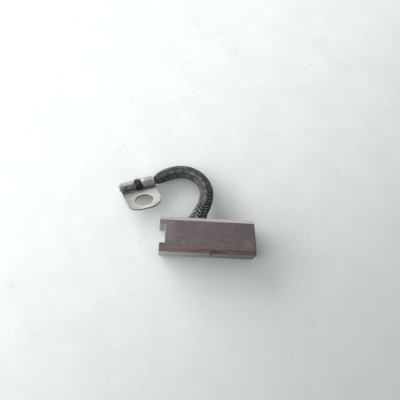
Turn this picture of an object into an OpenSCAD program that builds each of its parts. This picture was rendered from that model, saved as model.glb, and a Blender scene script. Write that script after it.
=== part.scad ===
// Carbon brush: a slotted copper-graphite block with a sleeved lead tamped into its
// side, ending in a flag terminal for a stud.
// Millimetres. The block lies flat on Z = 0, its running face towards +X and its
// lead side towards +Y. The origin is the bottom centre of the block's box.

/* [Carbon block] */
// Length along the longer side, from the slotted end to the running face
body_l = 27.4; // [22:0.1:36]
// Width across the two narrow sides
body_w = 10; // [8:0.1:16]
// Thickness, top to bottom
body_t = 8; // [6.8:0.1:14]
// Chamfer on each of the four long edges
edge_chamfer = 1; // [0.3:0.05:1.2]
// Angle of the running face away from square
face_bevel = 5; // [0:0.5:12]

/* [End slot] */
// Width of the slot that the pressure finger sits in
slot_w = 5.2; // [2:0.1:6]
// Depth of the slot
slot_depth = 1.5; // [0.6:0.1:4]

/* [Lead seat] */
// Distance of the lead's hole from the slotted end
lead_from_slot_end = 11.1; // [8:0.1:14]
// Diameter of the drilled hole that holds the tamped powder
seat_d = 4.4; // [3:0.1:5]
// Depth of the hole's straight wall
seat_depth = 5.5; // [3:0.1:6]
// Length of rope held in the powder
rope_grip = 5; // [2:0.1:5.4]

/* [Lead] */
// Diameter of the copper rope
rope_d = 1.8; // [1.2:0.1:2.2]
// Wall of the braided sleeve where it is loose
sleeve_wall = 0.6; // [0.3:0.05:0.8]
// Wall of the sleeve where the crimp presses it
sleeve_pressed = 0.15; // [0.1:0.05:0.3]
// Diameter of the sleeve along the middle of the lead
sleeve_d = 3.8; // [3.4:0.1:4.2]
// Diameter of the sleeve where it spreads against the block
sleeve_mouth_d = 5; // [4.2:0.1:5.2]
// Diameter of the frayed end past the crimp
sleeve_fray_d = 3.2; // [2.6:0.1:3.4]
// Length of the frayed end past the crimp
fray_l = 1.8; // [0.8:0.1:2]

/* [Terminal] */
// Thickness of the sheet
sheet_t = 0.5; // [0.3:0.05:0.8]
// Diameter of the stud hole
stud_hole_d = 5.3; // [3.2:0.1:6.4]
// Metal between the stud hole and the tip
pad_rim = 1.25; // [1:0.05:3]
// Width of the flat at the tip, between the pad's two rounds
pad_flat = 2; // [0.4:0.1:3]
// Metal between the sleeve crimp and the stud hole
neck = 2.4; // [1.2:0.1:5]
// Distance of the stud hole from the terminal's lead end
stud_from_lead_end = 4.1; // [3:0.1:6]
// Length of the crimp on the sleeve
sleeve_crimp_l = 3.9; // [2.5:0.1:5]
// Length of the crimp on the bare rope
rope_crimp_l = 4.1; // [2.5:0.1:6]
// Gap between the two crimps
crimp_gap = 2.1; // [2.1:0.1:4]
// Height of the seam left open beside each crimp
seam_gap = 0.25; // [0.1:0.05:0.4]
// Length of rope that stands out of the open end
rope_tail = 0.3; // [0:0.1:1]

/* [Hidden] */

$fn = 48;
cut = 0.5; // how far a cutting shape runs past the face that it cuts
bite = 0.05; // how far the tongue's flanks run inside the pad's rounds

// The drill leaves a 118 degree point at the bottom of the lead's hole.
drill_point = seat_d / 2 * tan(31);

// Where the lead leaves the block.
exit_x = lead_from_slot_end - body_l / 2;
exit_y = body_w / 2;
exit_z = body_t / 2;

// The terminal's own frame: X runs along the crimps from the lead end to the open
// end, the tongue reaches along +Y, and +Z is the face that the crimps stand on.
axis_h = rope_d / 2 + sleeve_pressed; // crimp axis above the tongue's upper face
sleeve_crimp_r = axis_h + sheet_t;
rope_crimp_r = rope_d / 2 + sheet_t;
rope_crimp_x = sleeve_crimp_l + crimp_gap;
terminal_l = rope_crimp_x + rope_crimp_l;
pad_r = stud_hole_d / 2 + pad_rim;
stud_y = sleeve_crimp_r + neck + stud_hole_d / 2;
fray_clear = 0.15;
notch_y = sqrt(max(0, pow(sleeve_fray_d / 2, 2) - axis_h * axis_h)) + fray_clear;

// How the terminal lies: turned in plan, nose down, and tipped so that the tongue rises.
turn = 196;
nose = 4;
tip = 36;
// The lowest edge of either crimp rests on Z = 0.
lie_z = max(rope_crimp_r * cos(nose) + terminal_l * sin(nose),
            sleeve_crimp_r * cos(nose) + sleeve_crimp_l * sin(nose));

// The lead's route. X and Y are counted from where it leaves the block and Z from
// the surface that the block lies on. The last point is the terminal's lead end.
route = [
    [0, 0, exit_z], [0.1, 1.3, exit_z], [0.65, 3, 3.95], [1.45, 4.7, 3.75],
    [1.95, 6.5, 3.5], [2.15, 8.35, 3.2], [1.9, 10.2, 2.9], [1.15, 11.9, 2.65],
    [0, 13.35, 2.45], [-1.5, 14.45, 2.2], [-3.2, 15.15, 2.05], [-5.05, 15.4, 1.95],
    [-6.9, 15.2, 1.95], [-8.65, 14.7, 1.95], [-10.3, 13.95, 2.05], [-11.85, 13, 2.1],
    [-13.45, 12.15, lie_z]
];
free_run = [for (p = route) [p[0] + exit_x, p[1] + exit_y, p[2]]];
lead_end = free_run[len(free_run) - 1];
crimp_dir = [cos(turn) * cos(nose), sin(turn) * cos(nose), -sin(nose)];
lead_in = 0.3; // the lead is straight from this far before the terminal
to_crimp = concat(
    [for (i = [0 : len(free_run) - 2]) free_run[i]],
    [on_axis(-lead_in), lead_end]);

// The sleeve's diameter along its free run, as shares of the run.
sleeve_form = [
    [0, sleeve_mouth_d], [0.07, sleeve_mouth_d - 0.5], [0.3, sleeve_d + 0.35],
    [0.5, sleeve_d], [0.85, sleeve_d], [0.94, sleeve_d - 0.3], [1, 2 * axis_h]
];
sides = 8; // of the lead's tubes
corner = 1 / cos(180 / sides); // a ring's corners for flats that lie one radius out

// A point on the crimp axis, s millimetres past the terminal's lead end.
function on_axis(s) = lead_end + s * crimp_dir;

// The directions of a tube's rings: halfway between the stretches before and after.
function unit(v) = v / norm(v);
function heading(path, i, first) =
    i == 0 ? first : i == len(path) - 1 ? unit(path[i] - path[i - 1])
    : unit(unit(path[i] - path[i - 1]) + unit(path[i + 1] - path[i]));

// One ring about point p, square to direction d, with its corners r out and a flat below.
function ring(p, d, r) =
    let (across = unit(cross(d, [0, 0, 1])), up = cross(across, d))
    [for (k = [0 : sides - 1]) let (a = 360 * (k + 0.5) / sides)
        p + r * (cos(a) * across + sin(a) * up)];

// Faces between ring a and ring b, as two triangles a side.
function band(a, b) =
    [for (k = [0 : sides - 1]) let (n = (k + 1) % sides)
        each [[a + k, a + n, b + n], [a + k, b + n, b + k]]];

function flip(faces) = [for (f = faces) [f[2], f[1], f[0]]];

// A solid tube along a path, with a radius for each point.
module rope_sweep(path, radii, first) {
    n = len(path);
    rings = [for (i = [0 : n - 1]) each ring(path[i], heading(path, i, first), radii[i])];
    last = (n - 1) * sides;
    polyhedron(rings, concat(
        [for (i = [0 : n - 2]) each band(i * sides, (i + 1) * sides)],
        [for (k = [1 : sides - 2]) [0, k + 1, k]],
        [for (k = [1 : sides - 2]) [last, last + k, last + k + 1]]));
}

// A hollow tube along a path, with an outer and an inner radius for each point.
module sleeve_sweep(path, outer, inner, first) {
    n = len(path);
    rings = [for (radii = [outer, inner]) for (i = [0 : n - 1])
        each ring(path[i], heading(path, i, first), radii[i])];
    bore = n * sides;
    last = (n - 1) * sides;
    polyhedron(rings, concat(
        [for (i = [0 : n - 2]) each band(i * sides, (i + 1) * sides)],
        [for (i = [0 : n - 2]) each flip(band(bore + i * sides, bore + (i + 1) * sides))],
        flip(band(0, bore)),
        band(last, bore + last)));
}

// The block's section, with a chamfer on every long edge.
module block_section() {
    w = body_w / 2;
    c = edge_chamfer;
    polygon([
        [-w + c, 0], [w - c, 0], [w, c], [w, body_t - c],
        [w - c, body_t], [-w + c, body_t], [-w, body_t - c], [-w, c]
    ]);
}

// Everything past the running face, which the bevel turns about its longer edge.
module past_running_face() {
    translate([body_l / 2, -body_w / 2, -cut]) rotate([0, 0, face_bevel])
        translate([0, -body_w, 0]) cube([body_l, 3 * body_w, body_t + 2 * cut]);
}

// The drilled hole for the lead, along -Y from the lead side.
module lead_seat(open = 0) {
    translate([exit_x, exit_y, exit_z]) rotate([90, 0, 0]) {
        translate([0, 0, -open]) cylinder(d = seat_d, h = seat_depth + open);
        translate([0, 0, seat_depth]) cylinder(d1 = seat_d, d2 = 0, h = drill_point);
    }
}

module carbon_block() {
    color("#6b5f60") difference() {
        translate([-body_l / 2, 0, 0]) rotate([90, 0, 90]) linear_extrude(body_l) block_section();
        past_running_face();
        translate([-body_l / 2 - cut, -slot_w / 2, -cut])
            cube([slot_depth + cut, slot_w, body_t + 2 * cut]);
        lead_seat(cut);
    }
}

module tamped_plug() {
    color("#a8694c") difference() {
        lead_seat();
        translate([exit_x, exit_y + cut, exit_z]) rotate([90, 0, 0])
            cylinder(d = rope_d, h = rope_grip + cut);
    }
}

module copper_rope() {
    path = concat(
        [[exit_x, exit_y - rope_grip, exit_z]],
        to_crimp,
        [for (s = [sleeve_crimp_l, rope_crimp_x, terminal_l + rope_tail]) on_axis(s)]);
    color("#8a4b35") rope_sweep(path, [for (p = path) rope_d / 2], [0, 1, 0]);
}

module braided_sleeve() {
    n = len(free_run);
    fray_s = [0.35, 1];
    path = concat(to_crimp, [on_axis(sleeve_crimp_l)],
        [for (k = fray_s) on_axis(sleeve_crimp_l + k * fray_l)]);
    outer = concat([for (i = [0 : n - 2]) corner * lookup(i / (n - 1), sleeve_form) / 2],
        [axis_h + lead_in, axis_h, axis_h], [for (k = fray_s) sleeve_fray_d / 2]);
    inner = [for (r = outer) max(rope_d / 2, r - sleeve_wall)];
    color("#2f3033") sleeve_sweep(path, outer, inner, [0, 1, 0]);
}

// Where a straight line from p touches the round of radius r about c, on the side
// that sign picks.
function touch(p, c, r, sign) =
    let (v = p - c, d = norm(v), a = atan2(v[1], v[0]) + sign * acos(r / d))
    c + r * [cos(a), sin(a)];

// The flat blank of the tongue: a pad with two rounds, joined by straight flanks to
// a root as wide as the crimps, with a notch that clears the frayed sleeve. The flanks
// end just inside the rounds, so that they cross them and leave no sliver.
module tongue_blank() {
    near = [stud_from_lead_end - pad_flat / 2, stud_y];
    far = [stud_from_lead_end + pad_flat / 2, stud_y];
    difference() {
        union() {
            for (c = [near, far]) translate(c) circle(pad_r, $fn = 96);
            translate(near - [0, pad_r]) square([pad_flat, 2 * pad_r]);
            polygon([[0, 0], [terminal_l, 0], touch([terminal_l, 0], far, pad_r - bite, 1),
                far, near, touch([0, 0], near, pad_r - bite, -1)]);
        }
        translate([stud_from_lead_end, stud_y]) circle(d = stud_hole_d, $fn = 96);
        translate([sleeve_crimp_l, -cut]) square([crimp_gap, notch_y + cut]);
    }
}

// One crimp: the sheet goes under the lead, up the far side, over the top and down
// again to a seam just above the tongue.
module crimp(r_in, len_x) {
    r_out = r_in + sheet_t;
    seam = asin(min(0.98, (axis_h - seam_gap) / r_out));
    rotate([90, 0, 90]) linear_extrude(len_x) difference() {
        circle(r_out, $fn = 96);
        circle(r_in, $fn = 96);
        polygon([[0, 0], [0, -2 * r_out], [2 * r_out, -2 * r_out],
            2 * r_out * [cos(seam), -sin(seam)]]);
    }
}

module ring_terminal() {
    color("#b9b9b4") translate(lead_end) rotate([0, 0, turn]) rotate([0, nose, 0])
    rotate([tip, 0, 0]) {
        translate([0, 0, -axis_h - sheet_t]) linear_extrude(sheet_t) tongue_blank();
        crimp(axis_h, sleeve_crimp_l);
        translate([rope_crimp_x, 0, 0]) crimp(rope_d / 2, rope_crimp_l);
    }
}

carbon_block();
tamped_plug();
copper_rope();
braided_sleeve();
ring_terminal();
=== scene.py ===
"""Carbon brush with a braided lead and a flag terminal.

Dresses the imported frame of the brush. Lengths are in metres in the frame's own axes:
the block lies on Z = 0, its running face looks towards +X and the lead leaves its
+Y side. The terminal has axes of its own, as its section below says.
"""
import math

import bmesh
import bpy
import numpy as np
from mathutils import Matrix, Vector


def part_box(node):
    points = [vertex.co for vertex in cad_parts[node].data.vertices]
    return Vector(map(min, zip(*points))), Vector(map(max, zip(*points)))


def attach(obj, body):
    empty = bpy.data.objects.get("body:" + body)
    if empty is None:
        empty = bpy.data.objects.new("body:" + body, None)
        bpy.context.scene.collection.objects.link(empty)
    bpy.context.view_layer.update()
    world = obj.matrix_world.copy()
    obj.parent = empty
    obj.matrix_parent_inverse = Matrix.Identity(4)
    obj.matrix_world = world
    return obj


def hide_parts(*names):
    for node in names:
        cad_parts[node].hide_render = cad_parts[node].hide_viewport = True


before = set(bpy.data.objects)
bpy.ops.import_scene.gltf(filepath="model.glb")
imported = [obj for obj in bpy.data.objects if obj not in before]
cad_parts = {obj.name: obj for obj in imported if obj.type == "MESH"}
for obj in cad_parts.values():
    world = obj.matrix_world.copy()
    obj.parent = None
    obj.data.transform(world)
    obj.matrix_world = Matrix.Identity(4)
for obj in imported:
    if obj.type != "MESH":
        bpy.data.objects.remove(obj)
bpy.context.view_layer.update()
BLOCK_LOW, BLOCK_HIGH = (np.array(corner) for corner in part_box("carbon_block"))
PLUG_LOW, PLUG_HIGH = (np.array(corner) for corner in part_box("tamped_plug"))

bl_info = {
    "name": "Carbon Brush",
    "version": (1, 0, 0),
    "blender": (4, 5, 0),
    "location": "View3D > Sidebar > Brush",
    "description": "Finishes a carbon brush with a braided lead and a flag terminal",
    "category": "Object",
}

MM = 0.001

# ---- Sizes and colours that a user would change


def amount(name, description, default, least=0.0, **more):
    """A number property that has a least value."""
    return bpy.props.FloatProperty(
        name=name, description=description, default=default, min=least, **more
    )


def size(name, description, default):
    """A length property."""
    return amount(name, description, default, unit="LENGTH", precision=5)


def turn(name, description, degrees):
    """An angle property, with its default in degrees."""
    return bpy.props.FloatProperty(
        name=name, description=description, default=math.radians(degrees), unit="ROTATION"
    )


def colour(name, description, default):
    """A linear colour property."""
    return bpy.props.FloatVectorProperty(
        name=name, description=description, default=default, size=3, subtype="COLOR",
        min=0.0, max=1.0,
    )


class BlockSettings(bpy.types.PropertyGroup):
    """The carbon block's worn edges and its colours."""

    edge_round: size("Edge rounding", "Radius of the worn edges", 0.0001)
    chip_size: size("Chip size", "Size of an ordinary chip on an edge", 0.0003)
    ground: colour("Ground face", "Colour of the ground faces", (0.098, 0.068, 0.069))
    bare: colour("Bare carbon", "Dark carbon where the skin has come off", (0.045, 0.027, 0.027))
    copper: colour("Copper tint", "Reddish copper in the streaks", (0.21, 0.08, 0.072))
    stain: colour("Stain", "Greyish stain near the slot", (0.17, 0.155, 0.165))
    # Dust and painted reflection, pale on the sides and in the slot.
    dust_and_sheen: colour("Dust", "Pale dust on the sides", (0.36, 0.345, 0.33))
    # Painted highlight: the far chamfers' pale pink and the light streaks on the near chamfer.
    skin: colour("Worn skin", "Pale pinkish skin on the far chamfers", (0.42, 0.36, 0.355))
    # Painted highlight on the near chamfer towards the slot's end.
    pink_highlight: colour("Pink streak", "Pinkish wear on the near chamfer", (0.21, 0.15, 0.145))
    # Dirt, and the dark base of the near chamfer, which is painted shade.
    dirt_and_shade: colour("Dirt", "Dark dirt in the nick and at the running face", (0.018, 0.013, 0.013))


class LeadSettings(bpy.types.PropertyGroup):
    """The rope and the braided sleeve."""

    rope_d: size("Rope diameter", "Diameter of the copper rope", 0.0018)
    rope_grip: size("Rope grip", "Length of rope held in the block", 0.005)
    sleeve_d: size("Sleeve diameter", "Diameter of the sleeve along the lead", 0.0038)
    mouth_d: size("Mouth diameter", "Diameter where the sleeve meets the block", 0.005)
    flare: size("Flare", "How far the mouth spreads towards the slot's end", 0.0012)
    collar_d: size("Collar diameter", "Diameter of the loose end past the crimp", 0.0033)
    yarn_t: size("Yarn thickness", "Thickness of a flattened yarn", 0.0002)
    carriers: bpy.props.IntProperty(
        name="Yarns each way", description="Yarns that run each way round", default=8, min=4
    )
    lay: turn("Braid angle", "Angle of the yarns to the lead on the free stretch", 66)
    cover: amount(
        "Cover", "Share of the sleeve that one sense of yarns covers", 0.74, 0.1,
        max=1.0, subtype="FACTOR",
    )
    yarn: colour("Yarn", "Colour of the yarn", (0.022, 0.023, 0.026))
    # Painted highlight on the crowns, partly wear.
    sheen: colour("Worn yarn", "Colour of the yarn's crowns", (0.27, 0.27, 0.285))
    copper: colour("Rope", "Colour of the tarnished rope", (0.52, 0.49, 0.50))


class TerminalSettings(bpy.types.PropertyGroup):
    """The flag terminal."""

    sheet_t: size("Sheet", "Thickness of the sheet", 0.0005)
    stud_d: size("Stud hole", "Diameter of the stud hole", 0.0053)
    rim: size("Rim", "Metal between the stud hole and the tip", 0.00125)
    flat: size("Tip flat", "Width of the flat at the tip", 0.002)
    neck: size("Neck", "Metal between the sleeve crimp and the stud hole", 0.0024)
    stud_x: size("Stud place", "Distance of the stud hole from the lead end", 0.0041)
    sleeve_crimp: size("Sleeve crimp", "Length of the crimp on the sleeve", 0.0039)
    gap: size("Crimp gap", "Gap between the two crimps", 0.0021)
    rope_crimp: size("Rope crimp", "Length of the crimp on the rope", 0.0041)
    pressed: size("Pressed sleeve", "Wall of the sleeve under its crimp", 0.00015)
    rope_tail: size("Rope tail", "Rope that stands out of the open end", 0.0003)
    oblique: size("Oblique end", "How far the sleeve crimp's end leans along the lead", 0.0011)
    tin: colour("Tin", "Colour of the tinned sheet", (0.375, 0.37, 0.35))
    # Also the painted shade on the crimps' lower half.
    stain: colour("Tarnish", "Dark tarnish about the rope", (0.25, 0.24, 0.248))
    # Bare metal of the sheared edges, painted near black as shade.
    cut_edge_shade: colour("Cut edge", "Bare metal of the sheared edges", (0.06, 0.06, 0.055))
    copper_stain: colour("Copper stain", "Reddish stain in the gap", (0.16, 0.09, 0.085))


class StageSettings(bpy.types.PropertyGroup):
    """The floor, the lights and the camera."""

    table: colour("Table", "Colour of the table near the window", (0.85, 0.89, 0.88))
    # Painted shade: the table's colour away from the window.
    shaded_table: colour("Far table", "Colour of the table away from the window", (0.48, 0.50, 0.49))
    sky: amount("Sky", "Strength of the light from above", 0.62)
    low_sky: amount("Low sky", "Strength of the light from the sides", 0.2)
    backdrop: amount("Backdrop", "Brightness of the room as seen, 1 is white", 0.9)
    mirrored: amount("Mirrored room", "Brightness of the room in reflections", 0.62)
    window: amount("Window", "Power of the window's light", 15.0, unit="POWER")
    door: amount("Door", "Power of the weaker light beside it", 5.5, unit="POWER")
    lens: amount("Lens", "Focal length on a 36 mm sensor", 50.68, 1.0, unit="CAMERA")


# ---- Shader maths


class Value:
    """A shader socket that carries a number. Expressions on it add Math nodes."""

    def __init__(self, graph, socket):
        self.graph = graph
        self.socket = socket

    def math(self, operation, *operands):
        return self.graph.add("ShaderNodeMath", {"operation": operation}, dict(enumerate(operands)))

    def __add__(self, other):
        return self.math("ADD", self, other)

    def __sub__(self, other):
        return self.math("SUBTRACT", self, other)

    def __rsub__(self, other):
        return self.math("SUBTRACT", other, self)

    def __mul__(self, other):
        return self.math("MULTIPLY", self, other)

    __radd__ = __add__
    __rmul__ = __mul__

    def abs(self):
        return self.math("ABSOLUTE", self)

    def power(self, exponent):
        return self.math("POWER", self, exponent)

    def step(self, low, high):
        """A smooth step from 0 at low to 1 at high; low may be the larger."""
        flip = low > high
        ends = (high, low) if flip else (low, high)
        made = self.graph.add(
            "ShaderNodeMapRange",
            {"interpolation_type": "SMOOTHSTEP"},
            {"Value": self, "From Min": ends[0], "From Max": ends[1]},
        )
        return 1 - made if flip else made

    def between(self, low, high, soft):
        """1 between low and high, and 0 outside, with edges that are soft wide."""
        return self.step(low - soft, low + soft) * self.step(high + soft, high - soft)


class Graph:
    """The nodes of a material or of the world, with its shader on the output."""

    def __init__(self, owner, shader="Principled BSDF"):
        owner.use_nodes = True
        self.owner = owner
        self.nodes = owner.node_tree.nodes
        self.links = owner.node_tree.links
        self.shader = self.nodes[shader]

    def connect(self, value, socket):
        """Links a Value, or writes a plain number or colour on the socket."""
        if isinstance(value, Value):
            self.links.new(value.socket, socket)
        elif socket.type == "RGBA" and len(value) == 3:
            socket.default_value = (*value, 1.0)
        else:
            socket.default_value = value

    def add(self, kind, settings, inputs, output=0):
        """Adds a node, sets its settings and then its inputs, and gives one output."""
        node = self.nodes.new(kind)
        for name, setting in settings.items():
            setattr(node, name, setting)
        for key, value in inputs.items():
            self.connect(value, node.inputs[key])
        return Value(self, node.outputs[output])

    def place(self, stretch=(1.0, 1.0, 1.0), shift=(0.0, 0.0, 0.0)):
        """Object coordinates in millimetres, stretched and shifted for a pattern."""
        inputs = {
            "Vector": self.add("ShaderNodeTexCoord", {}, {}, "Object"),
            "Scale": tuple(s / MM for s in stretch),
            "Location": shift,
        }
        return self.add("ShaderNodeMapping", {}, inputs)

    def split(self, vector):
        """The three numbers of a vector."""
        return [self.add("ShaderNodeSeparateXYZ", {}, {0: vector}, i) for i in range(3)]

    def axes(self):
        """The three Object coordinates, in millimetres."""
        return self.split(self.place())

    def axes_of(self, origin, turned):
        """Coordinates in millimetres on axes of the piece's own."""
        inputs = {
            "Vector": self.add("ShaderNodeTexCoord", {}, {}, "Object"),
            "Location": tuple(origin),
            "Rotation": tuple(Matrix(turned).to_euler()),
            "Scale": (MM, MM, MM),
        }
        return self.split(self.add("ShaderNodeMapping", {"vector_type": "TEXTURE"}, inputs))

    def noise(self, scale, detail=3.0, rough=0.55, **place):
        """Noise about 0.5, with scale as its cells in a millimetre before any stretch."""
        vector = self.place(**place)
        inputs = {"Vector": vector, "Scale": scale, "Detail": detail, "Roughness": rough}
        return self.add("ShaderNodeTexNoise", {"noise_dimensions": "3D"}, inputs)

    def mix(self, share, first, second):
        """The second colour over the first, by share."""
        inputs = {0: share, 6: first, 7: second}
        return self.add("ShaderNodeMix", {"data_type": "RGBA"}, inputs, 2)

    def layers(self, ground, *coats):
        """A ground colour under coats, each given as its share and its colour."""
        for share, tint in coats:
            ground = self.mix(share, ground, tint)
        return ground

    def attribute(self, name):
        return self.add("ShaderNodeAttribute", {"attribute_name": name}, {}, "Fac")

    def bump(self, height, strength, distance):
        """A bump of that height, on the shader's normal."""
        inputs = {"Height": height, "Strength": strength, "Distance": distance}
        self.connect(self.add("ShaderNodeBump", {}, inputs), self.shader.inputs["Normal"])

    def finish(self, **sockets):
        """Sets the shader's sockets, whose names have _ for a space."""
        for name, value in sockets.items():
            self.connect(value, self.shader.inputs[name.replace("_", " ")])
        return self.owner


def dimmed(tint, share):
    """A colour brought down to a share of its brightness."""
    return tuple(share * c for c in tint)


# ---- Shared shapes


def tube_quads(tubes, rings, sides):
    """Quads of closed tubes, whose points are numbered tube by tube and ring by ring.

    Each wall joins a ring to the next one, and each end is shut by a strip of quads.
    sides is even."""
    ring = np.arange(rings - 1)[:, None] * sides
    side = np.arange(sides)[None, :]
    after = (side + 1) % sides
    wall = np.stack([ring + side, ring + sides + side, ring + sides + after, ring + after], -1)
    half = np.arange(sides // 2 - 1)
    first = np.stack([half, half + 1, sides - 2 - half, sides - 1 - half], -1)
    last = (rings - 1) * sides + first[:, ::-1]
    one = np.concatenate([wall.reshape(-1, 4), first, last])
    return (one[None] + (np.arange(tubes) * rings * sides)[:, None, None]).reshape(-1, 4)


def ring_quads(rows, columns):
    """Quads of a closed ring of sections: both ways of the grid wrap round."""
    row = np.arange(rows)[:, None]
    column = np.arange(columns)[None, :]
    row_after = (row + 1) % rows
    column_after = (column + 1) % columns
    corners = [
        row * columns + column,
        row_after * columns + column,
        row_after * columns + column_after,
        row * columns + column_after,
    ]
    return np.stack(corners, -1).reshape(-1, 4)


def new_object(name, data):
    """An object at the origin, linked to the scene."""
    made = bpy.data.objects.new(name, data)
    bpy.context.scene.collection.objects.link(made)
    return made


def new_piece(name, points, quads, material, values=None):
    """A mesh object at the origin, from points, quads and values for each point."""
    mesh = bpy.data.meshes.new(name)
    mesh.vertices.add(len(points))
    mesh.vertices.foreach_set("co", np.ascontiguousarray(points, np.float32).ravel())
    mesh.loops.add(quads.size)
    mesh.loops.foreach_set("vertex_index", quads.astype(np.int32).ravel())
    mesh.polygons.add(len(quads))
    mesh.polygons.foreach_set("loop_start", np.arange(0, quads.size, 4, dtype=np.int32))
    for key, value in (values or {}).items():
        layer = mesh.attributes.new(key, "FLOAT", "POINT")
        layer.data.foreach_set("value", np.ascontiguousarray(value, np.float32).ravel())
    mesh.update(calc_edges=True)
    mesh.materials.append(material)
    return new_object(name, mesh)


def unit(vectors):
    """Vectors of length 1, along the last axis."""
    return vectors / np.linalg.norm(vectors, axis=-1, keepdims=True)


def combine(target, tool, operation):
    """Joins the tool's solid to the target or cuts it out, and removes the tool."""
    step = target.modifiers.new(operation, "BOOLEAN")
    step.operation = operation
    step.object = tool
    step.solver = "MANIFOLD"
    bake(target)
    bpy.data.objects.remove(tool)


def bake(target):
    """Puts the result of the object's modifiers into its own mesh."""
    graph = bpy.context.evaluated_depsgraph_get()
    mesh = bpy.data.meshes.new_from_object(target.evaluated_get(graph))
    target.modifiers.clear()
    target.data = mesh


def smooth(target, degrees):
    """Smooth shading, with a hard line wherever faces meet at more than the angle."""
    target.data.shade_smooth()
    target.data.set_sharp_from_angle(angle=math.radians(degrees))


def settle(target, node):
    """Lets a finished piece ride on the part, in place of the node that it shows."""
    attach(target, "root")
    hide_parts(node)


# ---- The lead's line

# Where the lead leaves the block.
EXIT = np.array([(PLUG_LOW[0] + PLUG_HIGH[0]) / 2, BLOCK_HIGH[1], BLOCK_HIGH[2] / 2])

# The route's points in millimetres, X and Y from the exit and Z from the surface.
ROUTE = np.array([
    (0.00, 0.00, 4.00), (0.10, 1.30, 4.00), (0.65, 3.00, 3.95), (1.45, 4.70, 3.75),
    (1.95, 6.50, 3.50), (2.15, 8.35, 3.20), (1.90, 10.20, 2.90), (1.15, 11.90, 2.65),
    (0.00, 13.35, 2.45), (-1.50, 14.45, 2.20), (-3.20, 15.15, 2.05), (-5.05, 15.40, 1.95),
    (-6.90, 15.20, 1.95), (-8.65, 14.70, 1.95), (-10.30, 13.95, 2.05), (-11.85, 13.00, 2.10),
    (-13.45, 12.15, 2.10),
])
FREE_RUN = ROUTE * MM + EXIT * (1, 1, 0)

# How the terminal lies on the end of the route: turned in plan, nose down and tipped.
TERMINAL_TURN = Matrix.Rotation(math.radians(196), 3, "Z")
TERMINAL_NOSE = Matrix.Rotation(math.radians(4), 3, "Y")
TERMINAL_TIP = Matrix.Rotation(math.radians(36), 3, "X")
TERMINAL_AXES = np.array(TERMINAL_TURN @ TERMINAL_NOSE @ TERMINAL_TIP)
LEAD_END = FREE_RUN[-1]


def cubic_through(points, first_way, last_way, count):
    """Points along a cubic spline that passes through the given ones.

    Between two points the line is a cubic of the chord length. The slopes are solved
    so that the curvature is continuous, with given directions at the two ends."""
    chord = np.linalg.norm(np.diff(points, axis=0), axis=1)
    place = np.concatenate([[0], np.cumsum(chord)])
    last = len(points) - 1
    system = np.zeros((last + 1, last + 1))
    target = np.zeros((last + 1, 3))
    system[0, 0] = system[last, last] = 1
    target[0], target[last] = first_way, last_way
    inner = np.arange(1, last)
    before, after = chord[:-1], chord[1:]
    system[inner, inner - 1] = 1 / before
    system[inner, inner] = 2 / before + 2 / after
    system[inner, inner + 1] = 1 / after
    rise = np.diff(points, axis=0) / chord[:, None] ** 2
    target[inner] = 3 * (rise[:-1] + rise[1:])
    slope = np.linalg.solve(system, target)
    t = np.linspace(0, place[-1], count)
    i = np.clip(np.searchsorted(place, t, side="right") - 1, 0, last - 1)
    h = chord[i][:, None]
    u = (t - place[i])[:, None] / h
    return (
        (1 + 2 * u) * (1 - u) ** 2 * points[i]
        + u * (1 - u) ** 2 * h * slope[i]
        + u**2 * (3 - 2 * u) * points[i + 1]
        + u**2 * (u - 1) * h * slope[i + 1]
    )


LINE_POINTS = 1500
LINE = cubic_through(FREE_RUN, (0, 1, 0), TERMINAL_AXES[:, 0], LINE_POINTS)
LINE_S = np.concatenate([[0], np.cumsum(np.linalg.norm(np.diff(LINE, axis=0), axis=1))])
LINE_SLOPE = np.gradient(LINE, LINE_S, axis=0)
FREE_LENGTH = LINE_S[-1]


def along_lead(s):
    """The lead's point, direction, sideways and upward axes, s metres from the exit.

    The line is straight before the exit and past the terminal's lead end."""
    s = np.asarray(s, float)
    point = np.stack([np.interp(s, LINE_S, LINE[:, i]) for i in range(3)], -1)
    point = point + np.minimum(s, 0)[..., None] * (0, 1, 0)
    point = point + np.maximum(s - FREE_LENGTH, 0)[..., None] * TERMINAL_AXES[:, 0]
    inside = np.clip(s, 0, FREE_LENGTH)
    way = unit(np.stack([np.interp(inside, LINE_S, LINE_SLOPE[:, i]) for i in range(3)], -1))
    across = unit(np.cross(way, (0, 0, 1)))
    return point, way, across, np.cross(across, way)


def round_lead(s, radius, angle):
    """Points round the lead: s along it, radius out and angle from its sideways axis."""
    point, _, across, up = along_lead(s)
    return point + radius[..., None] * (
        np.cos(angle)[..., None] * across + np.sin(angle)[..., None] * up
    )


def tubes_along(lines, outward, half_wide, half_thick, sides):
    """Tubes whose sections are flattened rounds, along lines of points.

    lines holds a row of points for each tube, outward the way that each section's
    thickness lies, and the half sizes are one number or one for each point."""
    way = unit(np.gradient(lines, axis=1))
    outward = unit(outward - (outward * way).sum(-1, keepdims=True) * way)
    aside = np.cross(way, outward)
    angle = 2 * np.pi * (np.arange(sides) + 0.5) / sides
    wide = np.broadcast_to(half_wide, lines.shape[:2])[..., None, None]
    thick = np.broadcast_to(half_thick, lines.shape[:2])[..., None, None]
    cosine, sine = np.cos(angle)[:, None], np.sin(angle)[:, None]
    return (
        lines[:, :, None]
        + wide * cosine * aside[:, :, None]
        + thick * sine * outward[:, :, None]
    )


# ---- Stage: camera, table and light

CAMERA_PLACE = Vector((-0.014502, -0.036208, 0.160817))
CAMERA_AIM = Vector((-0.002686, 0.010110, 0.008))
CAMERA_ROLL = math.radians(16.67)
LAMP_AIM = (0.0, 0.01, 0.0)


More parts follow.
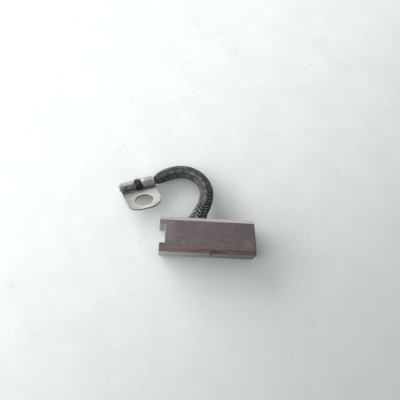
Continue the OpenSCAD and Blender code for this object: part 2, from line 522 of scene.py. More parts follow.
def table_material(settings):
    """A matt pale table with painted shade that darkens it away from the window, and faint clouds
    and specks.
    """
    graph = Graph(bpy.data.materials.new("table"))
    x, y, _ = graph.axes()
    away = x - y + 12.0 * (graph.noise(0.03, 2.0) - 0.5)
    cloud = graph.noise(0.09, 4.0, 0.6)
    smudge = graph.noise(0.45, 4.0, 0.65, shift=(0.0, 2.0, 7.0))
    speck = graph.noise(0.55, 1.0, 0.4, shift=(4.0, 9.0, 0.0))
    tint = graph.layers(
        settings.table,
        # Painted shade: the table darkens away from the window.
        (away.step(-85, 135), settings.shaded_table),
        (cloud.step(0.35, 0.7) * 0.1, (0.42, 0.44, 0.43)),
        (smudge.step(0.5, 0.75) * 0.07, (0.36, 0.38, 0.37)),
        (speck.step(0.76, 0.8) * 0.25, (0.25, 0.26, 0.25)),
    )
    return graph.finish(Base_Color=tint, Roughness=0.6, Specular_IOR_Level=0.3)


def light_panel(name, place, wide, tall, power):
    """A rectangular lamp that looks at the brush, wide across and tall upward."""
    lamp = bpy.data.lights.new(name, "AREA")
    lamp.shape = "RECTANGLE"
    lamp.size, lamp.size_y = wide, tall
    lamp.energy = power
    made = new_object(name, lamp)
    made.location = place
    made.rotation_euler = (Vector(LAMP_AIM) - Vector(place)).to_track_quat("-Z", "Y").to_euler()


def room(settings):
    """Soft light from the whole sky, stronger from above, and a plain room where it is seen."""
    world = bpy.data.worlds.new("room")
    bpy.context.scene.world = world
    graph = Graph(world, "Background")
    height = graph.split(graph.add("ShaderNodeTexCoord", {}, {}, "Generated"))[2]
    strength = settings.low_sky + (settings.sky - settings.low_sky) * height.step(0.1, 0.9)
    rays = {
        "Is Glossy Ray": settings.mirrored,
        "Is Transmission Ray": settings.backdrop,
        "Is Camera Ray": settings.backdrop,
    }
    for ray, shown in rays.items():
        share = graph.add("ShaderNodeLightPath", {}, {}, ray)
        inputs = {"Factor": share, "A": strength, "B": shown}
        strength = graph.add("ShaderNodeMix", {}, inputs, "Result")
    graph.finish(Strength=strength, Color=(0.96, 0.985, 1.0))


class BRUSH_OT_stage(bpy.types.Operator):
    """Set the camera, the table and the light"""

    bl_idname = "brush.stage"
    bl_label = "Set the stage"

    def execute(self, context):
        settings = context.scene.brush_stage
        context.scene.view_settings.view_transform = "Standard"
        camera = bpy.data.cameras.new("camera")
        camera.lens = settings.lens
        camera.sensor_width = 36.0
        camera.clip_start = 0.001
        made = new_object("camera", camera)
        made.location = CAMERA_PLACE
        back = (CAMERA_PLACE - CAMERA_AIM).normalized()
        level = Vector((0, 0, 1)).cross(back).normalized()
        turned = Matrix((level, back.cross(level), back)).transposed()
        made.rotation_euler = (turned @ Matrix.Rotation(CAMERA_ROLL, 3, "Z")).to_euler()
        context.scene.camera = made

        bpy.ops.mesh.primitive_plane_add(size=12.0, location=(0, 0, 0))
        table = context.active_object
        table.name = "table"
        table.data.materials.append(table_material(settings))

        room(settings)
        light_panel("window", (-0.72, 0.56, 0.32), 1.1, 0.42, settings.window)
        light_panel("door", (-0.88, -0.22, 0.3), 0.8, 0.42, settings.door)
        return {"FINISHED"}


# ---- Carbon block and the powder tamped into it

# Where the nick lies along the near side, from the middle towards the running face.
NICK_SHARE = 0.075
CHAMFER = 1 * MM
CHIPS = 22
# The slot as the dust sees it, in millimetres: how far in it reaches and half its width.
SLOT_DEEP, SLOT_HALF = 1.4, 2.55


def carbon_material(settings):
    """Ground copper-graphite: streaks along the block, chamfers with painted highlight and painted
    shade, stains, and dust with painted reflection.
    """
    graph = Graph(bpy.data.materials.new("carbon"))
    x, y, z = graph.axes()
    streaks = graph.noise(1.4, 6.0, 0.7, stretch=(0.07, 2.2, 2.2))
    fine = graph.noise(2.0, 4.0, 0.6, stretch=(0.2, 4.0, 4.0))
    lines = graph.noise(1.2, 5.0, 0.6, stretch=(0.16, 2.6, 2.6), shift=(1.0, 7.0, 2.0))
    blotch = graph.noise(1.1, 4.0, 0.7, stretch=(0.6, 1.0, 1.0), shift=(0.0, 5.0, 1.0))
    cloud = graph.noise(0.35, 3.0, 0.5, shift=(3.1, 0.4, 0.0))
    grain = graph.noise(6.0, 3.0, 0.7)
    specks = graph.noise(2.2, 2.0, 0.5).step(0.45, 0.6)
    half_l = float(BLOCK_HIGH[0] - BLOCK_LOW[0]) / MM / 2
    half_w, tall = float(BLOCK_HIGH[1]) / MM, float(BLOCK_HIGH[2]) / MM
    nick_x = half_l * NICK_SHARE

    # The ground faces darken towards the running face, with streaks and grains.
    tint = graph.layers(
        settings.ground,
        (cloud.step(0.35, 0.7) * 0.3, settings.bare),
        (x.step(-4, 13) * 0.55, settings.bare),
        (streaks.step(0.5, 0.7) * 0.28, settings.copper),
        (streaks.step(0.46, 0.34) * 0.3, settings.bare),
        (grain.step(0.48, 0.7) * 0.35, settings.stain),
        (blotch.step(0.5, 0.68) * 0.3, settings.stain),
        (blotch.step(0.48, 0.3) * 0.35, settings.bare),
        (grain.step(0.45, 0.3) * 0.4, settings.bare),
    )

    # Pale on the sides, most of all at the slot's end, and in the slot: dust and painted reflection
    # of the bright table.
    beside = y.abs().step(half_w - 0.12, half_w - 0.05)
    dust_and_sheen = (0.02 + 0.9 * x.step(9, -13)) * (0.5 + streaks)
    in_slot = x.step(SLOT_DEEP + 0.5 - half_l, SLOT_DEEP - half_l)
    in_slot = in_slot * y.abs().step(SLOT_HALF + 0.25, SLOT_HALF)
    tint = graph.layers(
        tint,
        (beside * dust_and_sheen, settings.dust_and_sheen),
        (in_slot * (0.6 + 0.4 * blotch.step(0.4, 0.6)), settings.dust_and_sheen),
    )

    # Each chamfer is painted apart: the far ones pale with painted highlight, the near ones dark
    # with painted shade, bare and streaked, with painted highlight streaks.
    corner = y.abs() + (z - tall / 2).abs()
    chamfer = corner.step(half_w + tall / 2 - 1.18, half_w + tall / 2 - 1.04)
    # The near chamfer starts from the dark dirt colour: painted shade.
    near = graph.layers(
        settings.dirt_and_shade,
        (0.3 + 0.7 * lines.step(0.4, 0.62), settings.copper),
        (x.step(-2, 12) * 0.45, settings.bare),
        # Light pinkish streaks: painted highlight.
        (lines.step(0.58, 0.68) * 0.25, settings.skin),
        # Paler pink towards the slot's end: painted highlight.
        (x.step(0, -11) * 0.65, settings.pink_highlight),
    )
    # The far chamfers' pale pink is painted highlight.
    far = graph.mix(streaks.step(0.3, 0.7), settings.skin, dimmed(settings.skin, 0.6))
    tint = graph.mix(chamfer, tint, graph.mix(y.step(-0.5, 0.5), near, far))

    # Stains on top: specks beside the slot, a patch by the running face and a dull film.
    on_top = z.step(tall - 0.1, tall - 0.03) * (1 - chamfer)
    slot_end = x.step(5.4 - half_l, 3.2 - half_l) * y.step(-3.0, -0.5) * on_top
    patch_x, patch_y = x - 11.2, y + 2.1
    reach = (patch_x * patch_x + patch_y * patch_y).power(0.5) + 1.6 * (cloud - 0.5)
    film = y.step(0.5, -2.5) * x.between(-10.5, -5.5, 2.0) * on_top * blotch.step(0.35, 0.6)
    tint = graph.layers(
        tint,
        (slot_end * (0.3 + 0.6 * specks), settings.stain),
        (reach.step(1.5, 0.4) * 0.4 * on_top, (0.13, 0.13, 0.115)),
        (film * 0.45, (0.125, 0.125, 0.115)),
    )

    # Dark marks: dirt at the running face's edge, two rubs beside it, a line along the far chamfer,
    # and a trail past the nick on the near chamfer; the nick is darker too.
    edge = (x + 0.8 * (grain - 0.5)).step(half_l - 0.9, half_l - 0.2) * (0.4 + 0.5 * grain)
    rubs = x.between(half_l - 1.6, half_l - 1.3, 0.2) + x.between(half_l - 0.8, half_l - 0.5, 0.2)
    rubs = rubs * y.between(-1.5, 3.2, 1.0) * on_top * grain.step(0.4, 0.6)
    rim = y.between(3.75, 3.95, 0.12) * x.step(-2, 6) * on_top * streaks.step(0.6, 0.4)
    slip = (x - nick_x + 0.9 * (grain - 0.5)).abs() + 0.09 * (tall - 1 - z).abs()
    nick = slip.step(0.5, 0.22) * y.step(-4.7, -4.85) * (0.7 + 0.5 * cloud)
    trail = x.between(nick_x, nick_x + 4.4, 0.5) * y.step(-3.9, -4.1)
    trail = trail * z.step(tall - 1.1, tall - 0.9) * z.step(tall + 0.1, tall - 0.5)
    trail = trail * streaks.step(0.6, 0.45)
    dirt_and_shade = edge + rubs * 0.5 + rim * 0.6 + nick * 0.95 + trail * 0.8
    tint = graph.mix(dirt_and_shade.step(0.0, 1.0), tint, settings.dirt_and_shade)

    graph.bump(streaks * 0.5 + fine * 0.35 + grain * 0.15, 0.4, 0.06 * MM)
    rough = 0.5 - 0.17 * beside - 0.1 * chamfer + 0.15 * (fine - 0.5) + 0.3 * nick
    return graph.finish(Base_Color=tint, Roughness=rough, IOR=1.7)


def powder_material(settings):
    """Dull copper powder, tamped hard."""
    graph = Graph(bpy.data.materials.new("tamped_powder"))
    grain = graph.noise(9.0, 4.0, 0.7)
    tint = graph.mix(grain, settings.bare, settings.copper)
    graph.bump(grain, 0.6, 0.08 * MM)
    return graph.finish(Base_Color=tint, Roughness=0.75, Metallic=0.3)


def lumps(centres, reach, seed):
    """Closed lumps for chips: balls on a grid, squeezed and roughened.

    Each is a ball whose radius has three random waves over its surface. centres and
    reach hold a point and three half sizes for each lump."""
    draw = np.random.default_rng(seed)
    rows, sides = 9, 12
    cap = 0.06
    tilt = np.clip(np.linspace(0, np.pi, rows)[:, None], cap, np.pi - cap)
    way = 2 * np.pi * np.arange(sides)[None, :] / sides
    ball = np.stack(
        [np.sin(tilt) * np.cos(way), np.sin(tilt) * np.sin(way), np.cos(tilt) + 0 * way], -1
    )
    waves = draw.normal(size=(len(centres), 3, 3)) * 2.2
    phase = draw.uniform(0, 2 * np.pi, (len(centres), 3))
    swing = np.sin(np.einsum("abk,nwk->nabw", ball, waves) + phase[:, None, None])
    radius = 1 + 0.16 * swing.sum(-1)
    points = centres[:, None, None] + ball * radius[..., None] * reach[:, None, None]
    return points.reshape(-1, 3), tube_quads(len(centres), rows, sides)


def worn_block(settings, material):
    """The block from its own solid, with worn edges, a nick and small chips."""
    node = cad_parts["carbon_block"]
    shape = bmesh.new()
    shape.from_mesh(node.data)
    bmesh.ops.remove_doubles(shape, verts=shape.verts, dist=1e-6)
    bmesh.ops.dissolve_limit(
        shape, angle_limit=math.radians(1), verts=shape.verts, edges=shape.edges
    )
    mesh = bpy.data.meshes.new("block")
    shape.to_mesh(mesh)
    shape.free()
    mesh.materials.clear()
    mesh.materials.append(material)
    made = new_object("block", mesh)
    wear = made.modifiers.new("worn_edges", "BEVEL")
    wear.width = settings.edge_round
    wear.segments = 2
    wear.limit_method = "ANGLE"
    wear.angle_limit = math.radians(25)
    bake(made)

    draw = np.random.default_rng(7)
    low, high = BLOCK_LOW, BLOCK_HIGH
    near_share, above_share, side_share = 0.65, 0.5, 0.6
    side_z = high[2] - CHAMFER
    along = draw.uniform(low[0], high[0], CHIPS)
    edge_y = np.where(draw.random(CHIPS) < near_share, low[1], high[1])
    above = draw.random(CHIPS) < above_share
    edge_z = np.where(draw.random(CHIPS) < side_share, side_z, high[2])
    edge_y = np.where(edge_z == high[2], edge_y - np.sign(edge_y) * CHAMFER, edge_y)
    edge_z = np.where(above, edge_z, high[2] - edge_z)
    edge_z = np.where(edge_y == high[1], side_z, edge_z)
    centres = np.stack([along, edge_y, edge_z], -1)
    reach = settings.chip_size * draw.uniform(0.3, 0.8, (CHIPS, 3)) * (1.6, 0.7, 0.7)

    # The nick and its upper end, a chip at the slot and one at the running face's corner.
    nick_x = high[0] * NICK_SHARE
    big = np.array([
        (nick_x, low[1], high[2] - 1.9 * MM),
        (nick_x + 0.5 * MM, low[1] + 0.1 * MM, high[2] - 0.95 * MM),
        (low[0], -2.6 * MM, high[2]),
        (high[0] - 0.9 * MM, high[1], side_z),
    ])
    big_reach = MM * np.array([
        (0.45, 0.22, 1.35), (0.8, 0.16, 0.2), (0.3, 0.2, 0.3), (0.5, 0.2, 0.3),
    ])
    centres = np.concatenate([centres, big])
    reach = np.concatenate([reach, big_reach])
    points, quads = lumps(centres, reach, 11)
    combine(made, new_piece("chips", points, quads, material), "DIFFERENCE")
    return made


class BRUSH_OT_block(bpy.types.Operator):
    """Dress the carbon block and its tamped plug"""

    bl_idname = "brush.block"
    bl_label = "Dress the block"

    def execute(self, context):
        settings = context.scene.brush_block
        block = worn_block(settings, carbon_material(settings))
        settle(block, "carbon_block")
        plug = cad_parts["tamped_plug"]
        plug.data.materials.clear()
        plug.data.materials.append(powder_material(settings))
        return {"FINISHED"}


# ---- Copper rope


def rope_material(settings):
    """Tarnished copper wire."""
    graph = Graph(bpy.data.materials.new("copper_wire"))
    cloud = graph.noise(1.8, 3.0, 0.6)
    red = graph.noise(1.1, 2.0, 0.5, shift=(5.0, 1.0, 2.0))
    tint = graph.layers(
        settings.copper,
        (cloud.step(0.35, 0.65), dimmed(settings.copper, 0.3)),
        (red.step(0.55, 0.75) * 0.6, (0.14, 0.07, 0.06)),
    )
    return graph.finish(Base_Color=tint, Roughness=0.5, Metallic=0.45)


def stranded_rope(settings, terminal, material):
    """Seven strands laid round each other, each of seven wires where the rope shows.

    A strand's middle winds round the lead in one sense, and a wire's middle winds round
    its strand in the other. Inside the sleeve each strand is one plain tube."""
    strand_d = settings.rope_d / 3
    wire_d = strand_d / 3
    lay, wire_lay = 12 * MM, 4.5 * MM
    strand_sides, wire_sides = 8, 6
    strand_rings, wire_rings = 110, 44
    past_crimp = FREE_LENGTH + terminal.sleeve_crimp
    bare_from = past_crimp - 0.5 * MM
    end = past_crimp + terminal.gap + terminal.rope_crimp + terminal.rope_tail
    sixth = np.pi / 3 * np.arange(6)

    def bundle(s, apart, lay_here):
        """Offsets of one middle and the six round it, at each s: seven in all."""
        turned = sixth[:, None] + 2 * np.pi * s / lay_here
        ring = apart * np.stack([np.cos(turned), np.sin(turned)], -1)
        return np.concatenate([np.zeros((1, *ring.shape[1:])), ring])

    def tubes(s, offset, thick, sides):
        """Round tubes whose middles lie offset from the lead's line."""
        point, _, across, up = along_lead(s)
        lines = point + offset[..., :1] * across + offset[..., 1:] * up
        return tubes_along(lines, np.broadcast_to(up, lines.shape), thick / 2, thick / 2, sides)

    s = np.linspace(-settings.rope_grip, bare_from, strand_rings)
    strands = tubes(s, bundle(s, strand_d, lay), strand_d, strand_sides)

    s = np.linspace(bare_from, end, wire_rings)
    offset = bundle(s, strand_d, lay)[:, None] + bundle(s, wire_d, -wire_lay)[None]
    offset = offset.reshape(-1, len(s), 2)
    count = len(offset)

    # The wires are cut unevenly: only their last millimetre is drawn out or pushed back.
    cut_back = np.random.default_rng(3).uniform(-0.12, 0.12, (count, 1)) * MM
    late = np.clip((s - end + 1 * MM) / MM, 0, 1)
    wires = tubes(s + late * cut_back, offset, wire_d, wire_sides)

    quads = tube_quads(len(strands), strands.shape[1], strand_sides)
    more = tube_quads(count, wires.shape[1], wire_sides) + strands[..., 0].size
    points = np.concatenate([strands.reshape(-1, 3), wires.reshape(-1, 3)])
    return new_piece("rope", points, np.concatenate([quads, more]), material)


class BRUSH_OT_rope(bpy.types.Operator):
    """Lay the copper rope"""

    bl_idname = "brush.rope"
    bl_label = "Lay the rope"

    def execute(self, context):
        settings = context.scene.brush_lead
        rope = stranded_rope(settings, context.scene.brush_terminal, rope_material(settings))
        smooth(rope, 60)
        settle(rope, "copper_rope")
        return {"FINISHED"}


# ---- Braided sleeve

# The loose end of the sleeve past its crimp: its length, and the ridges round it.
COLLAR_L = 1.9 * MM
RIDGE_PITCH, RIDGE_TALL, FIRST_RIDGE = 0.64 * MM, 0.24 * MM, 0.42 * MM


def yarn_material(settings):
    """Dark yarn with painted highlight, partly wear, along the tops of its crowns, and painted
    shade in the valleys and on the undersides.
    """
    graph = Graph(bpy.data.materials.new("yarn"))
    crown = graph.attribute("crown")
    tone = graph.attribute("tone")
    top = graph.attribute("top")
    dust_and_sheen = graph.noise(0.9, 3.0, 0.6)
    fuzz = graph.noise(9.0, 3.0, 0.7)
    # Painted highlight on the crowns' outer faces, partly wear.
    worn = crown.step(0.6, 0.97) * top.step(0.75, 0.96) * (0.4 + 0.6 * tone)
    worn = worn * (0.35 + 0.65 * dust_and_sheen.step(0.3, 0.7)) * (0.6 + 0.8 * fuzz)
    # Painted shade in the valleys between crowns and on the yarns' inner faces.
    deep_shade = (1 - crown.step(0.15, 0.6) * top.step(0.3, 0.75)) * 0.85
    coats = (worn, settings.sheen), (deep_shade, dimmed(settings.yarn, 0.2))
    tint = graph.layers(settings.yarn, *coats)
    graph.bump(fuzz, 0.35, 0.03 * MM)
    rough = 0.5 + 0.35 * deep_shade
    return graph.finish(Base_Color=tint, Roughness=rough, Specular_IOR_Level=0.25)


def sleeve_form(settings, terminal):
    """Stops along the sleeve: distance, outer diameter and the yarns' angle."""
    run, crimp = FREE_LENGTH, terminal.sleeve_crimp
    held = settings.rope_d + 2 * terminal.pressed
    lay = settings.lay
    tight = math.radians(50)
    return np.array([
        (0.00 * run, settings.mouth_d, 0.86 * lay),
        (0.03 * run, settings.mouth_d - 0.3 * MM, 0.88 * lay),
        (0.12 * run, settings.sleeve_d + 0.5 * MM, 0.9 * lay),
        (0.30 * run, settings.sleeve_d + 0.25 * MM, lay),
        (0.50 * run, settings.sleeve_d, lay),
        (0.86 * run, settings.sleeve_d, lay),
        (0.94 * run, settings.sleeve_d - 0.35 * MM, 0.9 * lay),
        (1.00 * run, held, tight),
        (run + crimp, held, tight),
        (run + crimp + 0.3 * MM, settings.collar_d, 1.15 * lay),
        (run + crimp + COLLAR_L - 0.3 * MM, settings.collar_d, 1.2 * lay),
        (run + crimp + COLLAR_L, settings.collar_d - 0.3 * MM, 1.2 * lay),
    ])


def braid(settings, terminal, material):
    """Yarns that wind both ways and pass over two and under two.

    A yarn's middle winds round the lead at the braid's angle. Where the yarns of one
    sense have turned by q half spacings, yarn j of the first sense crosses yarn j + q
    of the other. The first is outside while (2 j + q) mod 4 is 0 or 1, so each yarn
    rises and dips once in four crossings, and the two senses mirror each other."""
    n = settings.carriers
    stops = sleeve_form(settings, terminal)
    wave = 0.5 * settings.yarn_t
    samples, half_window = 6000, 120
    s = np.linspace(0, stops[-1, 0], samples)
    smoothing = np.hanning(2 * half_window + 1)
    smoothing /= smoothing.sum()

    def eased(column):
        """A column of the stops against s, with its corners rounded."""
        padded = np.pad(np.interp(s, stops[:, 0], stops[:, column]), half_window, mode="edge")
        return np.convolve(padded, smoothing, mode="valid")

    radius = eased(1) / 2 - wave - settings.yarn_t / 2
    lay = eased(2)
    wound = np.concatenate([[0], np.cumsum((np.tan(lay) / radius)[1:] * np.diff(s))])
    q_all = n * wound / np.pi
    per_crossing = 4
    q = np.linspace(0, q_all[-1], int(q_all[-1] * per_crossing))
    s_q, r_q, lay_q = (np.interp(q, q_all, row) for row in (s, radius, lay))

    draw = np.random.default_rng(21)
    yarn = np.arange(n)[:, None]
    swing, angle = [], []
    for sense, middle in ((1, 0.5), (-1, 2.5)):
        swing.append(np.cos(np.pi / 2 * (2 * yarn + sense * q - middle)))
        angle.append(np.pi / n * (2 * yarn + sense * q))
    swing, angle = np.concatenate(swing), np.concatenate(angle)
    lift = swing / np.sqrt(swing**2 + 0.25)

    # The collar: yarns of uneven length and spread, pushed into ridges.
    loose_from = FREE_LENGTH + terminal.sleeve_crimp
    loose = np.clip((s_q - loose_from) / COLLAR_L, 0, 1)
    spread = draw.uniform(-0.1, 0.1, (2 * n, 1)) * MM
    trim = draw.uniform(0.92, 1.0, (2 * n, 1))
    each_s = np.where(s_q > loose_from, loose_from + (s_q - loose_from) * trim, s_q)
    ridge = np.cos(2 * np.pi * (each_s - loose_from - FIRST_RIDGE) / RIDGE_PITCH)
    wander = draw.normal(size=(2 * n, 1)) * 0.12

    # The mouth spreads against the block, towards the slot's end.
    mouth = np.clip(1 - s_q / (2.2 * MM), 0, 1) ** 2
    each_r = r_q + wave * lift + spread * loose**1.5
    each_r = each_r + settings.flare * mouth * np.clip(-np.cos(angle), 0, 1)
    each_r = each_r + RIDGE_TALL * ridge * np.minimum(loose * 6, 1)

    lines = round_lead(each_s, each_r, angle + wander * loose)
    outward = lines - along_lead(each_s)[0]
    half_wide = settings.cover * np.pi * each_r / n * np.cos(lay_q)
    widest = (0.30 + 0.35 * np.exp(-s_q / (2 * MM))) * MM
    half_wide = np.minimum(half_wide, widest)
    sides = 8
    points = tubes_along(lines, outward, half_wide, settings.yarn_t / 2, sides)
    off_table = 0.02 * MM
    points[..., 2] = np.maximum(points[..., 2], off_table)

    # How high each point rides, lower in the collar's valleys, its yarn's tone and how far it faces
    # out, for the painted highlight, partly wear, and the painted shade.
    ridge_shade = np.where(s_q > loose_from, 0.5 + 0.5 * (ridge + 1) / 2, 1.0)
    crown = (lift + 1) / 2 * ridge_shade
    tone = draw.random((2 * n, 1)) + 0.5 * np.sin(0.37 * q + 6.3 * draw.random((2 * n, 1)))
    corner = 2 * np.pi * (np.arange(sides) + 0.5) / sides
    values = {
        "crown": crown[..., None],
        "tone": np.clip(tone, 0, 1)[..., None],
        "top": (1 + np.sin(corner)) / 2,
    }
    values = {key: np.broadcast_to(value, points.shape[:3]) for key, value in values.items()}
    quads = tube_quads(2 * n, len(q), sides)
    return new_piece("sleeve", points.reshape(-1, 3), quads, material, values)


class BRUSH_OT_sleeve(bpy.types.Operator):
    """Braid the sleeve over the rope"""

    bl_idname = "brush.sleeve"
    bl_label = "Braid the sleeve"

    def execute(self, context):
        settings = context.scene.brush_lead
        terminal = context.scene.brush_terminal
        sleeve = braid(settings, terminal, yarn_material(settings))
        smooth(sleeve, 75)
        settle(sleeve, "braided_sleeve")
        length = float(sleeve_form(settings, terminal)[-1, 0])
        along_lead(np.linspace(0, length, 60))[0]
        return {"FINISHED"}


# ---- Flag terminal. Its own axes: X along the crimps from the lead end, +Y towards the
# tip of the tongue, +Z out of the face that the crimps stand on, and the origin on
# the crimps' axis at the lead end.


def tin_material(settings, lead):
    """Tinned sheet: satin, clouded, with dark specks, tarnished about the rope, and with painted
    shade by the crimps and on the cut edges.
    """
    graph = Graph(bpy.data.materials.new("tinned_sheet"))
    x, y, z = graph.axes_of(LEAD_END, TERMINAL_AXES)
    cloud = graph.noise(0.8, 4.0, 0.6)
    grain = graph.noise(9.0, 3.0, 0.6)
    specks = grain.step(0.64, 0.72)
    left = settings.sleeve_crimp / MM
    right = (settings.sleeve_crimp + settings.gap) / MM
    middle = -(lead.rope_d / 2 + settings.pressed + settings.sheet_t / 2) / MM
    dull_and_shade = dimmed(settings.tin, 0.45)

    # The tongue darkens towards the rope crimp and next to the crimps: painted shade from the
    # crimps. The crimps are duller still, with painted shade below and a stain in the gap, and the
    # sheared edges are bare, painted dark as shade.
    on_tongue = y.step(1.3, 1.6)
    # Painted shade on the tongue, towards the rope crimp and next to the crimps.
    far = (x + 5.0 * (cloud - 0.5)).step(3.5, 8.5)
    near = (y + 2.0 * (cloud - 0.5)).step(4.6, 1.6)
    # Painted shade on the crimps' lower half, towards the tongue.
    low = z.step(0.9, -0.6) * (1 - on_tongue)
    gap = x.between(left - 0.1, right + 0.3, 0.3) * y.step(4.2, 2.2)
    tarnish = x.between(right - 0.2, right + 3.3, 0.4) * z.step(1.35, 0.7) * (1 - on_tongue)
    # The sheared edges: bare metal, painted near black as shade.
    cut = z.between(middle - 0.15, middle + 0.19, 0.05) * y.step(1.9, 2.2)
    tint = graph.layers(
        settings.tin,
        (cloud.step(0.3, 0.7) * 0.4, dull_and_shade),
        (on_tongue * (far * 0.85 + near * 0.3), dull_and_shade),
        ((1 - on_tongue) * 0.55, dull_and_shade),
        (low * 0.3, settings.stain),
        (gap * (0.35 + 0.5 * cloud), settings.copper_stain),
        (tarnish * cloud.step(0.3, 0.6) * 0.8, settings.stain),
        (cut * 0.75, settings.cut_edge_shade),
        (specks * 0.6, settings.stain),
    )

    graph.bump(grain * 0.4 + cloud * 0.6, 0.3, 0.06 * MM)
    rough = 0.42 + 0.2 * cloud + 0.15 * specks
    metal = 0.75 - 0.6 * (tarnish + low * 0.5 + gap * 0.6 + on_tongue * near * 0.4).step(0, 1)
    return graph.finish(Base_Color=tint, Roughness=rough, Metallic=metal)


def to_frame(points):
    """Terminal points in the frame."""
    return LEAD_END + points @ TERMINAL_AXES.T


def arc(centre, radius, first, last, count):
    """Points of an arc, from the first angle to the last."""
    angle = np.linspace(first, last, count)
    return np.array(centre) + radius * np.stack([np.cos(angle), np.sin(angle)], -1)


def touching(point, centre, radius, side):
    """The angle at which a straight line from the point touches the round."""
    away = np.array(point) - centre
    return math.atan2(away[1], away[0]) + side * math.acos(radius / np.linalg.norm(away))


def tongue_outline(settings, axis_h, root_l):
    """The tongue's outline, counterclockwise from the left end of its root.

    The root runs along y = 0, the flanks rise to the pad, whose two rounds are joined
    by the flat tip, and a notch lies between the crimps."""
    crimp_r = axis_h + settings.sheet_t
    stud = np.array([settings.stud_x, crimp_r + settings.neck + settings.stud_d / 2])
    pad_r = settings.stud_d / 2 + settings.rim
    near = stud - (settings.flat / 2, 0)
    far = stud + (settings.flat / 2, 0)
    first = touching((root_l, 0), far, pad_r, 1)
    last = touching((0, 0), near, pad_r, -1)
    last = last + 2 * math.pi if last < 0 else last
    left, right = settings.sleeve_crimp, settings.sleeve_crimp + settings.gap
    notch, lean, spacing = 0.9 * MM, 0.3 * MM, 0.5 * MM
    corners = [(0, 0), (left - 0.02 * MM, 0), (left + 0.02 * MM, notch), (right - lean, notch)]
    corners = corners + [(right + 0.05 * MM, 0), (root_l, 0)]
    rounds = [arc(far, pad_r, first, math.pi / 2, 40), arc(near, pad_r, math.pi / 2, last, 44)]
    outline = np.concatenate([corners, *rounds])
    step = np.roll(outline, -1, axis=0) - outline
    length = np.linalg.norm(step, axis=1)
    parts = np.maximum(1, np.ceil(length / spacing).astype(int))
    start = np.repeat(np.arange(len(outline)), parts)
    share = np.concatenate([np.arange(p) / p for p in parts])
    return stud, outline[start] + share[:, None] * step[start]


def tongue(settings, axis_h, root_l):
    """The tongue as a ring of sections round the stud hole.

    Each section is a rounded rectangle that reaches from the hole to the outline, and
    the sections go once round. The sheet bows a little towards the tip."""
    stud, outer = tongue_outline(settings, axis_h, root_l)
    way = outer - stud
    inner = stud + settings.stud_d / 2 * unit(way)
    t = settings.sheet_t
    edge, support, bow = 0.06 * MM, 0.04 * MM, 0.12 * MM

    # The upper half of a section, from the outline to the hole: its share of the reach,
    # then its distance past that share and its height. The lower half mirrors it.
    corner = np.radians([0, 30, 60, 90])
    inward, height = edge * (1 - np.cos(corner)), t / 2 - edge * (1 - np.sin(corner))
    face = [(1, -edge - support), (0.7, 0), (0.35, 0), (0, edge + support)]
    upper = np.concatenate([
        np.stack([np.ones(4), -inward, height], -1),
        [(*place, t / 2) for place in face],
        np.stack([np.zeros(4), inward, height], -1)[::-1],
    ])
    share, past, height = np.concatenate([upper, upper[::-1] * (1, 1, -1)]).T

    out = share * np.linalg.norm(outer - inner, axis=1)[:, None] + past
    flat = inner[:, None] + unit(way)[:, None] * out[..., None]
    tip = stud[1] + settings.stud_d / 2 + settings.rim
    across, along = np.clip(flat[..., 0] / root_l, 0, 1), np.clip(flat[..., 1] / tip, 0, 1)
    z = -axis_h - t / 2 + height + bow * along**2 * np.sin(np.pi * across)
    points = np.concatenate([flat, z[..., None]], -1)
    return points, ring_quads(*points.shape[:2])


def scroll(length, inner, sheet_t, wing, change, lean):
    """A crimp: the sheet goes under the lead, up the far side, over and down again.

    The section is a C of constant thickness with rounded lips, from 4 degrees inside
    the tongue to the wing's edge. wing(x) gives the angle that it is wound through and
    change(x, w) a change of radius, x being the share of the length and w of the winding.
    The far end leans by lean: it stands out beside the tongue and falls back at the
    wing's edge."""
    sections, around = 30, 44
    lip = np.radians([90, 55, 20, -20, -55, -90])
    edge = 0.05 * MM / length
    x = np.unique(np.concatenate([np.linspace(0, 1, sections), [edge, 1 - edge]]))
    x = np.concatenate([[0, 0], x, [1, 1]])
    inset = np.zeros(len(x))
    for end, depth in enumerate((0.24 * MM, 0.05 * MM, 0.015 * MM)):
        inset[[end, -1 - end]] = depth
    total = wing(x)[:, None]
    start = -math.radians(4)
    outer_w = start + np.linspace(0, 1, around) * (total - start)
    half = sheet_t / 2 - inset[:, None]
    middle = inner + sheet_t / 2
    near_lip = total + np.cos(lip) * half / middle * 0.9
    angle = np.concatenate([outer_w, near_lip[:, 1:-1], outer_w[:, ::-1]], 1)
    radial = np.concatenate([np.ones(around), np.sin(lip)[1:-1], -np.ones(around)]) * half
    share = np.clip(angle / total, 0, 1)
    tuck = np.where(share < 0.02, 0.012 * MM, 0.0)
    radius = middle + (np.abs(radial) - tuck) * np.sign(radial) + change(x[:, None], share)
    turned = -math.pi / 2 - angle
    slant = np.clip((share - 0.3) / 0.7, 0, 1) - 0.42
    along = (x * length)[:, None] - lean * slant * np.clip((x - 0.45) / 0.55, 0, 1)[:, None]
    points = np.stack([along, radius * np.cos(turned), radius * np.sin(turned)], -1)
    return points, tube_quads(1, len(x), points.shape[1])


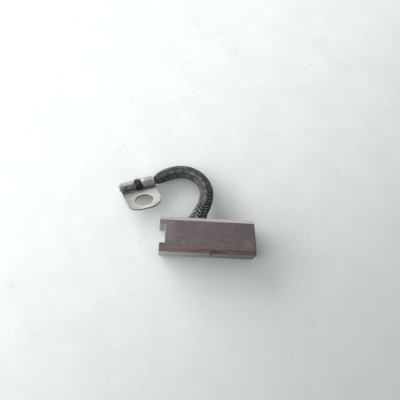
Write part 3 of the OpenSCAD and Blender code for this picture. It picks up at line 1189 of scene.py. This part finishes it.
def terminal_solid(settings, lead, material):
    """The tongue and the two crimps, joined into one sheet."""
    rope_r = lead.rope_d / 2
    axis_h = rope_r + settings.pressed
    second = settings.sleeve_crimp + settings.gap
    root_l = second + settings.rope_crimp
    full = math.pi * 1.5
    seam_drop = 0.8 * MM

    def sleeve_wing(x):
        """The wing comes down to the seam, just above the tongue."""
        return np.full_like(x, full + math.asin(seam_drop / (axis_h + settings.sheet_t)))

    def sleeve_shape(x, share):
        """The open end bells out a little and the far end is pressed in."""
        bell = 0.10 * np.clip(1 - x / 0.12, 0, 1) ** 2
        press = 0.22 * np.clip((x - 0.7) / 0.3, 0, 1) ** 1.5 * np.sin(np.pi * np.clip(share, 0, 1))
        return (bell - press) * MM

    def rope_wing(x):
        """The wing stops high over the rope and comes down at the open end."""
        down = 1 / (1 + np.exp(-(x - 0.80) * 34))
        return full - math.radians(50) + down * math.radians(84)

    def rope_shape(x, share):
        """Two shallow dents across the crimp."""
        dents = np.exp(-(((x - 0.33) / 0.12) ** 2)) + np.exp(-(((x - 0.68) / 0.12) ** 2))
        return -0.07 * MM * dents * np.sin(np.pi * np.clip(share, 0, 1)) ** 2

    points, quads = tongue(settings, axis_h, root_l)
    made = new_piece("terminal", to_frame(points.reshape(-1, 3)), quads, material)
    crimps = (
        (0, settings.sleeve_crimp, axis_h, sleeve_wing, sleeve_shape, settings.oblique),
        (second, settings.rope_crimp, rope_r, rope_wing, rope_shape, 0.0),
    )
    for start, length, inner, wing, shape, lean in crimps:
        points, quads = scroll(length, inner, settings.sheet_t, wing, shape, lean)
        points = points.reshape(-1, 3) + (start, 0, 0)
        combine(made, new_piece("crimp", to_frame(points), quads, material), "UNION")
    return made


class BRUSH_OT_terminal(bpy.types.Operator):
    """Press the flag terminal onto the lead"""

    bl_idname = "brush.terminal"
    bl_label = "Press the terminal"

    def execute(self, context):
        settings = context.scene.brush_terminal
        lead = context.scene.brush_lead
        made = terminal_solid(settings, lead, tin_material(settings, lead))
        smooth(made, 40)
        settle(made, "ring_terminal")
        return {"FINISHED"}


# ---- Panel and registration


class BRUSH_PT_panel(bpy.types.Panel):
    """The brush's sizes and its steps"""

    bl_idname = "BRUSH_PT_panel"
    bl_label = "Carbon brush"
    bl_space_type = "VIEW_3D"
    bl_region_type = "UI"
    bl_category = "Brush"

    def draw(self, context):
        for group, _ in GROUPS:
            box = self.layout.box()
            settings = getattr(context.scene, group)
            for name in settings.__annotations__:
                box.prop(settings, name)
        for step in STEPS:
            self.layout.operator(step.bl_idname)


GROUPS = (
    ("brush_stage", StageSettings),
    ("brush_lead", LeadSettings),
    ("brush_terminal", TerminalSettings),
    ("brush_block", BlockSettings),
)
STEPS = (BRUSH_OT_stage, BRUSH_OT_rope, BRUSH_OT_terminal, BRUSH_OT_sleeve, BRUSH_OT_block)


def register():
    for name, group in GROUPS:
        bpy.utils.register_class(group)
        setattr(bpy.types.Scene, name, bpy.props.PointerProperty(type=group))
    for step in (*STEPS, BRUSH_PT_panel):
        bpy.utils.register_class(step)


def unregister():
    for step in reversed((*STEPS, BRUSH_PT_panel)):
        bpy.utils.unregister_class(step)
    for name, group in reversed(GROUPS):
        delattr(bpy.types.Scene, name)
        bpy.utils.unregister_class(group)


def main():
    register()
    bpy.ops.brush.stage()
    bpy.ops.brush.rope()
    bpy.ops.brush.terminal()
    bpy.ops.brush.sleeve()
    bpy.ops.brush.block()


if __name__ == "__main__":
    main()
